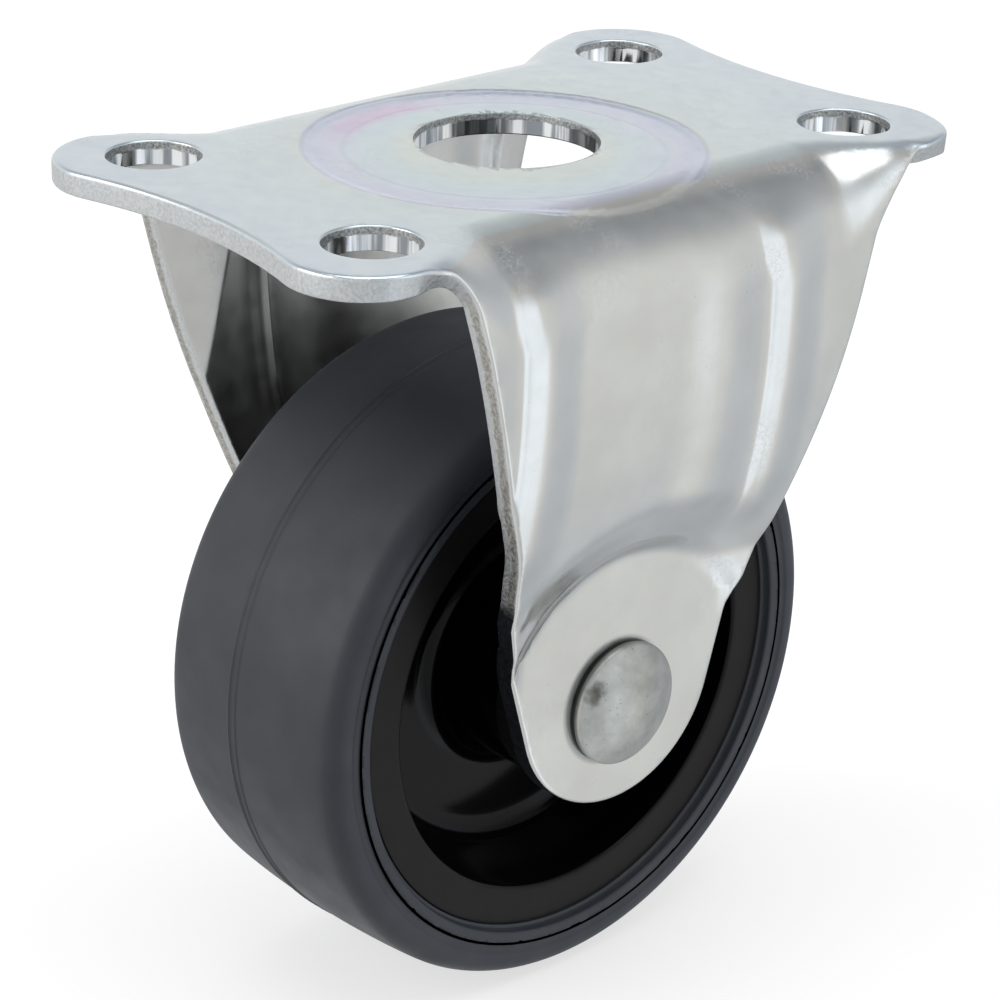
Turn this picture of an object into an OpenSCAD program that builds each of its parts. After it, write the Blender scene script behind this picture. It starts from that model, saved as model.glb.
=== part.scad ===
// Rigid plate castor: a pressed steel bracket, a riveted axle on a spacer sleeve,
// and a plastic wheel core in a rubber tyre. X is the rolling direction, Y the axle,
// Z is up. The origin is the middle of the plate's top face, so the castor hangs below.

/* [Overall] */
// Height from the plate's top face to the floor
overall_h = 85.5; // [80:0.5:95]
// Thickness of the bracket's steel sheet
sheet_t = 2.4; // [1.6:0.1:3]

/* [Plate] */
// Bolt hole pitch along the rolling direction
hole_pitch_x = 60; // [57:0.5:70]
// Bolt hole pitch along the axle
hole_pitch_y = 32; // [28:0.5:35]
// Diameter of the bolt holes
hole_d = 9; // [6:0.1:10]
// Radius of the round ears at the four corners
ear_r = 7.8; // [7:0.1:10]
// How far the ear centres lie outside the bolt holes, along X
ear_out_x = 1.4; // [0:0.1:2]
// How far the ear centres lie outside the bolt holes, along Y
ear_out_y = 1; // [0:0.1:2]
// How far the plate's short edges are waisted between the ears
waist_depth = 2.4; // [0.5:0.1:4]
// Diameter of the hole in the middle of the plate
centre_hole_d = 18; // [10:0.5:22]
// Radius of the shallow round recess about the middle hole
recess_r = 19; // [14:0.5:20]
// Depth of the recess
recess_depth = 0.3; // [0.1:0.05:0.8]
// Width of the sloped step round the recess
recess_step_w = 1; // [0.3:0.1:2]

/* [Fork] */
// Width over the outside of the two legs, just under the plate
fork_w = 50.4; // [46:0.2:60]
// Outside bend radius in the middle of a leg
bend_mid_r = 8.5; // [5:0.1:9]
// Outside bend radius at the leg's side edges
bend_edge_r = 1.6; // [1.2:0.1:5]
// Width of a leg where it leaves the plate
leg_top_w = 58.6; // [54:0.2:60]
// Width of a leg where its taper eases, beside the pad
leg_low_w = 32; // [27:0.2:36]
// Height of that place above the axle
leg_low_above_axle = 18; // [16:0.5:20]
// Radius of the leg's round lower end
leg_end_r = 12.6; // [11:0.1:14]
// How far the round end's centre lies above the axle
leg_end_above_axle = 1.8; // [0:0.1:3]
// Size of the flare where a leg's side edges meet the plate's underside
leg_flare = 1.6; // [0.5:0.1:2.5]
// Inward lean of the leg's panel, in mm for each mm down
leg_lean = 0.09; // [0:0.01:0.12]
// Radius of the flat pad about the axle
pad_r = 15.2; // [13.5:0.1:16]
// Width of the step from the pad out to the panel
pad_step_w = 6; // [5:0.1:8]

/* [Pressed beads] */
// Place along X of the bead near the leg's straight edge
bead_a_x = -17.6; // [-19:0.1:-16]
// Place along X of the other bead
bead_b_x = 12.4; // [10:0.1:14]
// Half the width of a bead
bead_half_w = 4.7; // [3.5:0.1:5]
// How far a bead stands out of the panel
bead_h = 1.5; // [0.5:0.1:1.8]
// Depth below the plate at which the beads start
bead_start = 1.2; // [0.5:0.1:3]
// Height above the axle at which the beads run out
bead_end_above_axle = 17.5; // [16:0.5:20]

/* [Axle] */
// Diameter of the rivet's shank
shank_d = 8; // [6:0.1:9]
// Diameter of the rivet's factory head
head_d = 13; // [11:0.1:16]
// Height of the head's straight rim
head_rim_h = 1.3; // [0.6:0.1:2]
// Height of the head's dome above its rim
head_dome_h = 1.7; // [1:0.1:2.5]
// Diameter of the head that is formed on the rivet's other end
tail_d = 12; // [11:0.1:14]
// Height of the formed head
tail_h = 2.2; // [1:0.1:3]
// Outside diameter of the spacer sleeve
sleeve_d = 12; // [11:0.1:13]
// Clearance about the shank, in the legs and in the sleeve
shank_gap = 0.1; // [0.05:0.05:0.2]

/* [Wheel] */
// Diameter of the wheel over the tread
wheel_d = 65; // [60:0.5:67]
// Width of the tyre
tyre_w = 26; // [24:0.2:28]
// How much lower the tread is at its shoulders than in its middle
tread_drop = 0.5; // [0.2:0.1:1]
// Radius of the tyre's shoulders
shoulder_r = 2.4; // [1:0.1:3]
// Thickness of the rubber between the tread and the core
tyre_wall = 6; // [5.5:0.1:8]
// Width of the core's rim
core_w = 24; // [22:0.2:24]
// Width of the flat ring on each side of the rim
ring_w = 3.6; // [2:0.1:4.5]
// Depth of the locking groove round the core
groove_depth = 1.5; // [0.8:0.1:2]
// Width of the locking groove at its bottom
groove_w = 8; // [6:0.5:10]
// Thickness of the web between the hub and the rim
web_t = 5; // [3:0.2:8]
// Radius of the round corner between the recess wall and the web
web_fillet_r = 2.5; // [1:0.1:3]
// Draft of the recess wall, from the ring to the web
wall_draft = 1.6; // [0.5:0.1:2]
// Diameter of the hub
hub_d = 21; // [18:0.2:23]
// Length of the hub
hub_w = 31.8; // [29:0.2:34]
// Running clearance between the core's bore and the sleeve, on the radius
run_gap = 0.06; // [0.02:0.01:0.1]
// Clearance between the hub's ends and the legs
side_gap = 0.3; // [0.2:0.05:0.4]
// Clearance between the tyre and the core
tyre_gap = 0.02; // [0.01:0.01:0.05]

/* [Hidden] */
$fn = 96;
eps = 0.01;
axle_z = -(overall_h - wheel_d / 2);
leg_out = fork_w / 2;
pad_in = hub_w / 2 + side_gap;
pad_out = pad_in + sheet_t;
ear_x = hole_pitch_x / 2 + ear_out_x;
ear_y = hole_pitch_y / 2 + ear_out_y;
leg_top_half = leg_top_w / 2;
leg_low_half = leg_low_w / 2;
leg_low_z = axle_z + leg_low_above_axle;
leg_end_z = axle_z + leg_end_above_axle;
// The saddle: the bend tightens towards the leg's side edges over this width
saddle_run = 9;
// The panel starts to lean below the bend
lean_start = bend_mid_r + 1;
bead_end_z = axle_z + bead_end_above_axle;
// Lengths over which the beads rise at their tops and run out at their ends
bead_lead = 4;
bead_tail = 6;
// Length on each side of the taper's corner over which it eases
ease_run = 5;
// Smallest inside radius of the bend
bend_in_min = 0.6;
// How far the waist's curve cuts into the ears, so that the two cross and don't just touch
waist_bite = 0.02;
tyre_r = wheel_d / 2;
core_r = tyre_r - tyre_wall;
half_tyre = tyre_w / 2;
half_core = core_w / 2;
// Round lip inside the core's flat ring, and the hub's draft and end chamfer
lip_r = 0.8;
hub_draft = 0.4;
hub_chamfer = 0.5;
// Shallow hollow band round the tyre's side, and the groove where it meets the core
band_w = 0.7;
band_depth = 0.25;
seam_w = 0.6;
seam_chamfer = 0.4;
shoulder_steps = 5;
sleeve_bore_r = shank_d / 2 + shank_gap;

// Curves used by several parts
function rise(t) = let (c = min(1, max(0, t))) c * c * (3 - 2 * c);
function unit(v) = v / norm(v);
function arc(centre, r, from, to, steps) =
    [for (i = [0:steps]) let (a = from + (to - from) * i / steps) centre + r * [cos(a), sin(a)]];
function bend_in(p, corner, q, steps) =
    [for (i = [0:steps]) let (t = i / steps)
        (1 - t) * (1 - t) * p + 2 * t * (1 - t) * corner + t * t * q];
function mirror_x(points) = [for (i = [len(points) - 1:-1:0]) [-points[i][0], points[i][1]]];

// The sheet of one leg. A leg is drawn on the -Y side and turned half a turn for the other.
function bend_r(x) =
    bend_edge_r + (bend_mid_r - bend_edge_r) * rise((leg_top_half - 1 - abs(x)) / saddle_run);
function bead_at(x, z) =
    bead_h * (rise(1 - abs(x - bead_a_x) / bead_half_w) + rise(1 - abs(x - bead_b_x) / bead_half_w))
    * rise((-z - bead_start) / bead_lead) * rise((z - bead_end_z) / bead_tail);
function panel_at(z) = leg_out - leg_lean * max(0, -z - lean_start);
function face_at(x, z) =
    pad_out + (panel_at(z) - pad_out) * rise((norm([x, z - axle_z]) - pad_r) / pad_step_w);
// A point of a bend of radius r that turns from the level -depth to the face, with the bead on it
function bend_point(x, a, r, depth) =
    let (b = bead_at(x, bend_r(x) * (cos(a) - 1)))
    [x, r + depth - leg_out - (r + b) * sin(a), (r + b) * cos(a) - r - depth];
function leg_point(x, z) = [x, -face_at(x, max(z, axle_z)) - bead_at(x, z), z];
function leg_normal(x, z) =
    unit(cross(leg_point(x, z - 0.1) - leg_point(x, z + 0.1),
               leg_point(x + 0.1, z) - leg_point(x - 0.1, z)));

// Columns across the leg, close together over the beads
bead_cols = [for (k = [-4:4]) k / 4 * bead_half_w];
gap_left = bead_a_x + bead_half_w;
gap_right = bead_b_x - bead_half_w;
side_left = bead_a_x - bead_half_w;
side_right = bead_b_x + bead_half_w;
leg_reach = leg_top_half + leg_flare + 0.5;
columns = concat(
    [for (k = [0:3]) -leg_reach + k / 4 * (side_left + leg_reach)],
    [for (c = bead_cols) bead_a_x + c],
    [for (k = [1:5]) gap_left + k / 6 * (gap_right - gap_left)],
    [for (c = bead_cols) bead_b_x + c],
    [for (k = [1:5]) side_right + k / 5 * (leg_reach - side_right)]);

// Rows down the leg: across the flat, round the bend, down the panel and over the step
flat_start = leg_out - bend_mid_r - 3;
bend_steps = 7;
panel_top = -bend_mid_r - 1.5;
step_top = axle_z + pad_r + pad_step_w + 1;
step_low = axle_z + 8;
end_z = axle_z - leg_end_r - 2;
panel_rows = [for (k = [0:4]) panel_top + k / 5 * (step_top - panel_top)];
step_rows = [for (k = [0:9]) step_top + k / 9 * (step_low - step_top)];
z_rows = concat(panel_rows, step_rows, [end_z]);

function bend_column(x, r, depth) = concat(
    [[x, -flat_start, -depth]],
    [for (i = [0:bend_steps]) bend_point(x, 90 * i / bend_steps, r, depth)]);
function outer_column(x) = concat(
    bend_column(x, bend_r(x), 0),
    [for (z = z_rows) leg_point(x, z)]);
function inner_column(x) = concat(
    bend_column(x, max(bend_in_min, bend_r(x) - sheet_t), sheet_t),
    [for (z = z_rows) leg_point(x, z) - sheet_t * leg_normal(x, z)]);

module leg_sheet() {
    rows = len(z_rows) + bend_steps + 2;
    cols = len(columns);
    outer = [for (x = columns) each outer_column(x)];
    inner = [for (x = columns) each inner_column(x)];
    n = rows * cols;
    // Two triangles for each cell of the grid, with the corners a, b, c, d in turn
    function cell(a, b, c, d) = [[a, b, c], [a, c, d]];
    front = [for (i = [0:cols - 2], j = [0:rows - 2]) each
        cell(i * rows + j, (i + 1) * rows + j, (i + 1) * rows + j + 1, i * rows + j + 1)];
    back = [for (i = [0:cols - 2], j = [0:rows - 2]) each
        cell(n + i * rows + j, n + i * rows + j + 1, n + (i + 1) * rows + j + 1, n + (i + 1) * rows + j)];
    last = (cols - 1) * rows;
    sides = [for (j = [0:rows - 2]) each concat(
        cell(j, j + 1, n + j + 1, n + j),
        cell(last + j, n + last + j, n + last + j + 1, last + j + 1))];
    ends = [for (i = [0:cols - 2]) each concat(
        cell(i * rows, n + i * rows, n + (i + 1) * rows, (i + 1) * rows),
        cell(i * rows + rows - 1, (i + 1) * rows + rows - 1,
             n + (i + 1) * rows + rows - 1, n + i * rows + rows - 1))];
    polyhedron(points = concat(outer, inner), faces = concat(front, back, sides, ends), convexity = 6);
}

// Front view of a leg: flared under the plate, tapered, eased beside the pad, with a round end
module leg_outline() {
    top = [leg_top_half, 0];
    low = [leg_low_half, leg_low_z];
    end = [0, leg_end_z];
    down = unit(low - top);
    under = top + down * sheet_t / -down[1];
    // The edge below the eased corner touches the round end's circle
    touch_a = atan2(low[1] - end[1], low[0]) - acos(leg_end_r / norm(low - end));
    touch = end + leg_end_r * [cos(touch_a), sin(touch_a)];
    right = concat(
        [[under[0] + leg_flare, eps]],
        bend_in(under + [leg_flare, 0], under, under + leg_flare * down, 4),
        bend_in(low - ease_run * down, low, low + ease_run * unit(touch - low), 6),
        arc(end, leg_end_r, touch_a, -90, 16));
    polygon(concat(right, mirror_x([for (i = [0:len(right) - 2]) right[i]])));
}

module leg() {
    intersection() {
        leg_sheet();
        translate([0, -leg_out / 2, 0]) rotate([90, 0, 0])
            linear_extrude(height = leg_out + 2 * bead_h + 4, center = true) leg_outline();
    }
}

// Plan of the flat plate: round ears at the corners and a waist between them
module plate_outline() {
    waist_x = ear_x + ear_r - waist_depth;
    waist_r = (pow(waist_x - ear_x, 2) + ear_y * ear_y - ear_r * ear_r)
        / (2 * (ear_r + ear_x - waist_x));
    toward = unit([waist_x + waist_r - ear_x, -ear_y]);
    joint = [ear_x, ear_y] + ear_r * toward;
    difference() {
        union() {
            square([2 * (joint[0] + 0.5), 2 * joint[1]], center = true);
            square([leg_top_w, 2 * (flat_start + 1)], center = true);
            for (sx = [-1, 1], sy = [-1, 1]) translate([sx * ear_x, sy * ear_y]) circle(r = ear_r);
        }
        for (sx = [-1, 1]) translate([sx * (waist_x + waist_r), 0])
            circle(r = waist_r + waist_bite, $fn = 240);
    }
}

module bracket() {
    color([0.78, 0.79, 0.79])
    difference() {
        union() {
            translate([0, 0, -sheet_t]) linear_extrude(height = sheet_t) plate_outline();
            for (turn = [0, 180]) rotate([0, 0, turn]) leg();
        }
        for (sx = [-1, 1], sy = [-1, 1])
            translate([sx * hole_pitch_x / 2, sy * hole_pitch_y / 2, -sheet_t - 1])
                cylinder(h = sheet_t + 2, d = hole_d);
        translate([0, 0, -sheet_t - 1]) cylinder(h = sheet_t + 2, d = centre_hole_d);
        translate([0, 0, -recess_depth])
            cylinder(h = recess_depth + eps, r1 = recess_r - recess_step_w, r2 = recess_r);
        translate([0, 0, axle_z]) rotate([90, 0, 0])
            cylinder(h = fork_w + 2, r = sleeve_bore_r, center = true);
    }
}

// Half profile of a low dome on a rim, standing on the X axis of the sketch
module dome_profile(r, rim_h, dome_h) {
    dome_r = (r * r + dome_h * dome_h) / (2 * dome_h);
    intersection() {
        square([r, rim_h + dome_h]);
        translate([0, rim_h + dome_h - dome_r]) circle(r = dome_r, $fn = 180);
    }
}

module axle_rivet() {
    color([0.62, 0.62, 0.6])
    translate([0, 0, axle_z]) {
        rotate([90, 0, 0]) cylinder(h = 2 * pad_out, d = shank_d, center = true);
        translate([0, -pad_out, 0]) rotate([90, 0, 0])
            rotate_extrude() dome_profile(head_d / 2, head_rim_h, head_dome_h);
        translate([0, pad_out, 0]) rotate([-90, 0, 0])
            rotate_extrude() dome_profile(tail_d / 2, tail_h / 4, tail_h * 3 / 4);
    }
}

module axle_sleeve() {
    color([0.6, 0.61, 0.62])
    translate([0, 0, axle_z]) rotate([90, 0, 0]) difference() {
        cylinder(h = 2 * pad_in, d = sleeve_d, center = true);
        cylinder(h = 2 * pad_in + 2, r = sleeve_bore_r, center = true);
    }
}

// Outside of the core's rim, which the tyre is moulded round: a groove with sloped walls
function rim_points(gap) =
    let (h = half_core, g = groove_w / 2, d = groove_depth, r = core_r + gap)
    [[r, -h], [r, -g - d], [r - d, -g], [r - d, g], [r, g + d], [r, h]];

// Half section of the core: a flat ring, a dished web and a hub that stands out past the rim
module core_profile() {
    bore_r = sleeve_d / 2 + run_gap;
    ring_in = core_r - ring_w;
    web_r = ring_in - wall_draft;
    half_web = web_t / 2;
    half_hub = hub_w / 2;
    hub_r = hub_d / 2;
    f = web_fillet_r;
    side = concat(
        [[core_r, half_core]],
        arc([ring_in + lip_r, half_core - lip_r], lip_r, 90, 180, 4),
        arc([web_r - f, half_web + f], f, 0, -90, 5),
        arc([hub_r + f, half_web + f], f, 270, 180, 5),
        [[hub_r - hub_draft, half_hub - hub_chamfer], [hub_r - hub_draft - hub_chamfer, half_hub],
         [bore_r + hub_chamfer, half_hub], [bore_r, half_hub - hub_chamfer]]);
    polygon(concat(side, [for (i = [len(side) - 1:-1:1]) [side[i][0], -side[i][1]]],
                   rim_points(0)));
}

module wheel_core() {
    color([0.1, 0.1, 0.11])
    translate([0, 0, axle_z]) rotate([90, 0, 0]) rotate_extrude(convexity = 6) core_profile();
}

// Half section of the tyre: a crowned tread, round shoulders and flat sides
module tyre_profile() {
    s = shoulder_r;
    edge_r = tyre_r - tread_drop;
    edge_y = half_tyre - s;
    crown_r = (edge_y * edge_y + tread_drop * tread_drop) / (2 * tread_drop);
    crown_a = asin(edge_y / crown_r);
    side_r = edge_r - s;
    seam_r = core_r + seam_w;
    half = concat(
        arc([tyre_r - crown_r, 0], crown_r, 0, crown_a, 8),
        arc([side_r, edge_y], s, 90 / shoulder_steps, 90, shoulder_steps - 1),
        [[side_r - band_w, half_tyre - band_depth], [side_r - 2 * band_w, half_tyre],
         [seam_r + seam_chamfer, half_tyre], [seam_r, half_core + seam_chamfer],
         [core_r + tyre_gap, half_core]]);
    under = rim_points(tyre_gap);
    low = [for (i = [len(half) - 1:-1:1]) [half[i][0], -half[i][1]]];
    polygon(concat(low, half, [for (i = [len(under) - 2:-1:1]) under[i]]));
}

module tyre() {
    color([0.2, 0.22, 0.26])
    translate([0, 0, axle_z]) rotate([90, 0, 0]) rotate_extrude(convexity = 6) tyre_profile();
}

bracket();
axle_rivet();
axle_sleeve();
wheel_core();
tyre();
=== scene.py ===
"""A rigid plate castor: a zinc-plated pressed fork, a riveted axle, a black wheel centre and a
rubber tyre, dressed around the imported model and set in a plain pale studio."""

import logging
import math
from dataclasses import dataclass
from enum import Enum
from typing import Callable, Sequence

import bmesh
import bpy
from mathutils import Matrix, Vector


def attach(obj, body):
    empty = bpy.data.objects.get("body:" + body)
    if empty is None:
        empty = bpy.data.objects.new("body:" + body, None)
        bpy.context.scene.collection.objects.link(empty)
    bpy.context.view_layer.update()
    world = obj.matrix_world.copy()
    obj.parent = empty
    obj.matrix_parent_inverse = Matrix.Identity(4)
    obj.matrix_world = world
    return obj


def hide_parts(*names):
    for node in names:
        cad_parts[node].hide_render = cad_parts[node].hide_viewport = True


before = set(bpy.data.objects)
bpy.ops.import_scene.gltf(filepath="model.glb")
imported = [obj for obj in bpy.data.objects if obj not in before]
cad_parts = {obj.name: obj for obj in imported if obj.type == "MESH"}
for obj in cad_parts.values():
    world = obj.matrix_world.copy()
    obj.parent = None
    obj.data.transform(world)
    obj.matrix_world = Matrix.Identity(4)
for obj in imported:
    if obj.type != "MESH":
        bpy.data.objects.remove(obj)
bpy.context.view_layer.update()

MM = 0.001
AXLE = Vector((0.0, 0.0, -53.0))
# Middle of the plate's recess, and how far out the rivet's pads stand, in millimetres
RECESS_AT = (-2.2, -2.1)
PAD_OUT = 18.6
log = logging.getLogger("castor")

Point2 = tuple[float, float]
Colour = tuple[float, ...]


def rise(t: float) -> float:
    """Eases from 0 to 1 as t goes from 0 to 1, flat at both ends.

    Args:
        t: Place along the step; values outside 0 to 1 are held at its ends.

    Returns:
        The eased value, from 0 to 1.
    """
    c = min(1.0, max(0.0, t))
    return c * c * (3.0 - 2.0 * c)


def arc(centre: Point2, radius: float, start: float, end: float, steps: int) -> list[Point2]:
    """Points along a circle's arc.

    Args:
        centre: The circle's centre.
        radius: The circle's radius.
        start: First angle in degrees.
        end: Last angle in degrees.
        steps: Number of chords.

    Returns:
        The points from the first angle to the last.
    """
    angles = [math.radians(start + (end - start) * i / steps) for i in range(steps + 1)]
    return [(centre[0] + radius * math.cos(a), centre[1] + radius * math.sin(a)) for a in angles]


def eased_corner(p: Point2, corner: Point2, q: Point2, steps: int) -> list[Point2]:
    """A smooth curve from p to q that leaves and arrives along the lines through a corner.

    Args:
        p: First point.
        corner: The corner that the curve rounds.
        q: Last point.
        steps: Number of chords.

    Returns:
        The points of the curve.
    """
    out = []
    for i in range(steps + 1):
        t = i / steps
        a, b, c = (1 - t) ** 2, 2 * t * (1 - t), t * t
        out.append((a * p[0] + b * corner[0] + c * q[0], a * p[1] + b * corner[1] + c * q[1]))
    return out


def steps_between(low: float, high: float, pitch: float) -> list[float]:
    """Evenly spaced cut places between two values.

    Args:
        low: First value.
        high: Last value.
        pitch: Greatest distance between cuts.

    Returns:
        The places, without the two ends.
    """
    count = max(1, math.ceil((high - low) / pitch))
    return [low + (high - low) * i / count for i in range(1, count)]


def link_mesh(name: str, bm: bmesh.types.BMesh) -> bpy.types.Object:
    """Turns a finished bmesh in millimetres into an object in metres.

    Args:
        name: The piece's name.
        bm: The shape, freed here.

    Returns:
        The new object, at the origin.
    """
    bmesh.ops.scale(bm, vec=(MM, MM, MM), verts=bm.verts)
    mesh = bpy.data.meshes.new(name)
    bm.to_mesh(mesh)
    bm.free()
    mesh.shade_smooth()
    obj = bpy.data.objects.new(name, mesh)
    bpy.context.scene.collection.objects.link(obj)
    return obj


def spin_section(bm: bmesh.types.BMesh, section: Sequence[Sequence[float]], axis: Sequence[float],
                 steps: int, centre: Sequence[float] = (0, 0, 0), closed: bool = False) -> None:
    """Spins a section a full turn about an axis.

    Args:
        bm: Where the solid is added.
        section: The section's points, in order.
        axis: Direction of the axis.
        steps: Number of steps round the turn.
        centre: A point on the axis.
        closed: Whether the last point joins the first.
    """
    verts = [bm.verts.new(point) for point in section]
    ends = verts[1:] + verts[:1] if closed else verts[1:]
    edges = [bm.edges.new(pair) for pair in zip(verts, ends)]
    bmesh.ops.spin(bm, geom=verts + edges, cent=centre, axis=axis, dvec=(0, 0, 0),
                   angle=math.tau, steps=steps, use_merge=True, use_duplicate=False)


def close_up(bm: bmesh.types.BMesh) -> None:
    """Joins points that coincide and turns every face outwards."""
    bmesh.ops.remove_doubles(bm, verts=bm.verts, dist=1e-4)
    bmesh.ops.recalc_face_normals(bm, faces=bm.faces)


def turned(profile: Sequence[Point2], steps: int, closed: bool = True) -> bmesh.types.BMesh:
    """Spins a profile about the axle.

    Args:
        profile: Points as (radius, place along the axle), in order round the section.
        steps: Number of steps round the full turn.
        closed: Whether the profile is a ring, and not a line from axis to axis.

    Returns:
        The closed solid in millimetres, centred on the axle.
    """
    bm = bmesh.new()
    spin_section(bm, [(r, y, 0.0) for r, y in profile], (0, 1, 0), steps, closed=closed)
    close_up(bm)
    bmesh.ops.translate(bm, vec=AXLE, verts=bm.verts)
    return bm


def toward(azimuth: float, elevation: float) -> Vector:
    """Direction from the castor to a place round it.

    Args:
        azimuth: Degrees round from straight ahead, which is -Y.
        elevation: Degrees above level.

    Returns:
        The unit vector.
    """
    a, e = math.radians(azimuth), math.radians(elevation)
    return Vector((math.sin(a) * math.cos(e), -math.cos(a) * math.cos(e), math.sin(e)))


def settle(obj: bpy.types.Object, finishes: Sequence[bpy.types.Material], body: str,
           node: str) -> bpy.types.Object:
    """Finishes a piece and hands it to the frame.

    Args:
        obj: The piece.
        finishes: Its materials, in the order of its faces' indices.
        body: The body that it rides on.
        node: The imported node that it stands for.

    Returns:
        The piece.
    """
    for finish in finishes:
        obj.data.materials.append(finish)
    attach(obj, body)
    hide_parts(node)
    log.info("%s: %d faces, on %s", obj.name, len(obj.data.polygons), body)
    return obj


class Tree:
    """Adds and links nodes in one shader tree."""

    def __init__(self, tree: bpy.types.NodeTree) -> None:
        """Keeps the tree."""
        self.tree = tree

    def add(self, kind: str, inputs: dict | None = None, **settings: object) -> bpy.types.Node:
        """Adds a node.

        Args:
            kind: The node's type name without the ShaderNode prefix.
            inputs: Socket names or numbers, with a value or another socket for each.
            settings: Attributes of the node.

        Returns:
            The node.
        """
        node = self.tree.nodes.new("ShaderNode" + kind)
        for key, value in settings.items():
            setattr(node, key, value)
        for key, value in (inputs or {}).items():
            self.put(node.inputs[key], value)
        return node

    def put(self, socket: bpy.types.NodeSocket, value: object) -> None:
        """Links or sets one input.

        Args:
            socket: The input.
            value: Another socket to link, or a value to set.
        """
        if isinstance(value, bpy.types.NodeSocket):
            self.tree.links.new(value, socket)
        else:
            socket.default_value = value

    def maths(self, operation: str, *values: object, clamp: bool = False) -> bpy.types.NodeSocket:
        """Adds a Math node.

        Args:
            operation: The node's operation.
            values: Sockets or numbers for its inputs.
            clamp: Whether the result is held between 0 and 1.

        Returns:
            The result.
        """
        inputs = dict(enumerate(values))
        return self.add("Math", inputs, operation=operation, use_clamp=clamp).outputs[0]

    def plus(self, a: object, b: object) -> bpy.types.NodeSocket:
        """The sum of two values."""
        return self.maths("ADD", a, b)

    def minus(self, a: object, b: object) -> bpy.types.NodeSocket:
        """The first value less the second."""
        return self.maths("SUBTRACT", a, b)

    def times(self, a: object, b: object) -> bpy.types.NodeSocket:
        """The product of two values."""
        return self.maths("MULTIPLY", a, b)

    def ramp(self, value: object, low: float, high: float,
             to_low: float = 0.0, to_high: float = 1.0) -> bpy.types.NodeSocket:
        """Maps a value smoothly from one range to another.

        Args:
            value: The value.
            low: Start of the range it comes from.
            high: End of that range.
            to_low: Result at the start.
            to_high: Result at the end.

        Returns:
            The mapped value.
        """
        return self.add("MapRange", {"Value": value, "From Min": low, "From Max": high,
                                     "To Min": to_low, "To Max": to_high},
                        interpolation_type="SMOOTHSTEP").outputs[0]

    def bands(self, value: object, stops: Sequence[tuple[float, Colour]],
              easing: str = "LINEAR") -> bpy.types.NodeSocket:
        """Turns a value into the colours of a ramp.

        Args:
            value: Place along the ramp, from 0 to 1.
            stops: Place and colour of each stop, in rising order.
            easing: How colours change between stops.

        Returns:
            The colour.
        """
        node = self.add("ValToRGB", {0: value})
        ramp = node.color_ramp
        ramp.interpolation = easing
        while len(ramp.elements) < len(stops):
            ramp.elements.new(0.5)
        for element, (where, colour) in zip(ramp.elements, stops):
            element.position, element.color = where, colour
        return node.outputs[0]

    def blend(self, factor: object, a: object, b: object,
              mode: str = "MIX") -> bpy.types.NodeSocket:
        """Mixes two colours.

        Args:
            factor: Share of the second.
            a: First colour.
            b: Second colour.
            mode: How they are mixed.

        Returns:
            The mixed colour.
        """
        node = self.add("Mix", data_type="RGBA", blend_type=mode)
        for socket, value in ((node.inputs[0], factor), (node.inputs[6], a), (node.inputs[7], b)):
            self.put(socket, value)
        return node.outputs[2]

    def place(self, scale: float = 1000.0) -> bpy.types.NodeSocket:
        """The surface point in the piece's own coordinates.

        Args:
            scale: Factor on the coordinates; 1000 gives millimetres.

        Returns:
            The scaled position.
        """
        source = self.add("TexCoord").outputs["Object"]
        return self.add("VectorMath", {0: source, "Scale": scale}, operation="SCALE").outputs[0]


def make_group(name: str, inputs: Sequence[tuple[str, str, object]],
               outputs: Sequence[tuple[str, str]], fill: Callable) -> bpy.types.NodeTree:
    """Builds one shared node group.

    Args:
        name: The group's name.
        inputs: Name, socket kind and default of each input.
        outputs: Name and socket kind of each output.
        fill: Takes the tree helper and the inputs, and returns the outputs in order.

    Returns:
        The group.
    """
    group = bpy.data.node_groups.new(name, "ShaderNodeTree")
    for label, kind, default in inputs:
        socket = group.interface.new_socket(label, in_out="INPUT", socket_type="NodeSocket" + kind)
        socket.default_value = default
    for label, kind in outputs:
        group.interface.new_socket(label, in_out="OUTPUT", socket_type="NodeSocket" + kind)
    tree = Tree(group)
    source = group.nodes.new("NodeGroupInput")
    sink = group.nodes.new("NodeGroupOutput")
    for number, value in enumerate(fill(tree, source.outputs)):
        tree.put(sink.inputs[number], value)
    return group


def fill_mottle(tree: Tree, given: bpy.types.NodeOutputs) -> list:
    """Soft cloudy variation; see make_group."""
    noise = tree.add("TexNoise", {"Vector": tree.place(), "Scale": given["Scale"],
                                  "Detail": given["Detail"], "Roughness": 0.55}).outputs[0]
    spread = tree.add("MapRange", {"Value": noise, "From Min": 0.3, "From Max": 0.7,
                                   "To Min": given["Low"], "To Max": given["High"]})
    return [spread.outputs[0]]


def fill_specks(tree: Tree, given: bpy.types.NodeOutputs) -> list:
    """Small scattered spots of uneven size; see make_group."""
    cells = tree.add("TexVoronoi", {"Vector": tree.place(), "Scale": given["Scale"],
                                    "Randomness": 1.0}, feature="F1")
    size = tree.add("SeparateColor", {0: cells.outputs["Color"]}).outputs[0]
    reach = tree.times(tree.minus(size, tree.minus(1.0, given["Share"])), 1.2)
    return [tree.maths("MULTIPLY", tree.minus(reach, cells.outputs["Distance"]),
                       given["Sharpness"], clamp=True)]


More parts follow.
